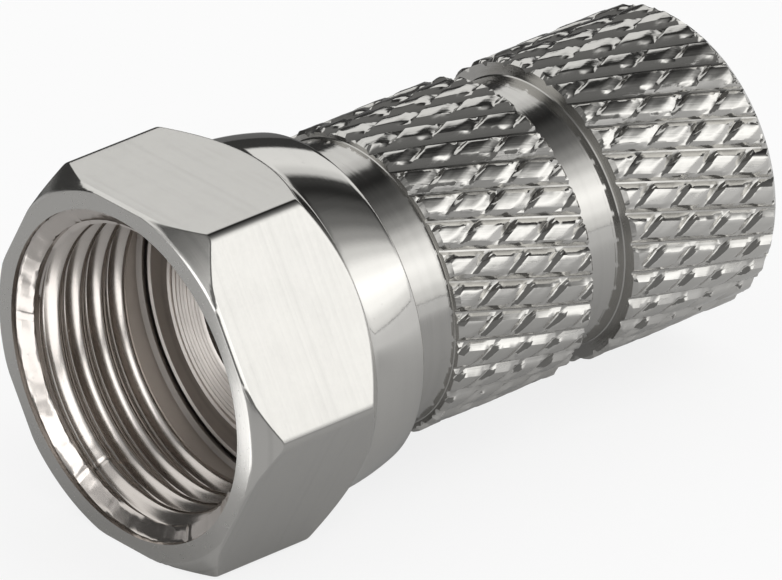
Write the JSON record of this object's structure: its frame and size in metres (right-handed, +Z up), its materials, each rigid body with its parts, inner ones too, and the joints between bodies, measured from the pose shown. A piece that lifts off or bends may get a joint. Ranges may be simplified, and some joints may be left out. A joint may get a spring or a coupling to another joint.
{
  "type": "f connector",
  "caption": "Screw-on coaxial plug: a chamfered hexagonal coupling nut turns freely on a tubular body with two cross-knurled grip bands and an open cable bore.",
  "frame": {"origin": "on the common axis, in the plane of the coupling nut's front face, where the mating port enters", "axes": "+X along the common axis from the mating face to the cable end, +Z up with one flat of the nut facing straight down, +Y to the side"},
  "size_m": [0.021, 0.0128, 0.011],
  "materials": {
    "nut_nickel": "bright nickel plating over turned brass, fine brush lines",
    "body_nickel": "bright nickel plating over knurled brass"
  },
  "bodies": {
    "body": {"knurled_body": "body_nickel"},
    "nut": {"coupling_nut": "nut_nickel"}
  },
  "joints": [
    {"name": "nut_spin", "type": "hinge", "parent": "body", "child": "nut", "pos_m": [0, 0, 0], "axis": [1, 0, 0], "continuous": true}
  ]
}
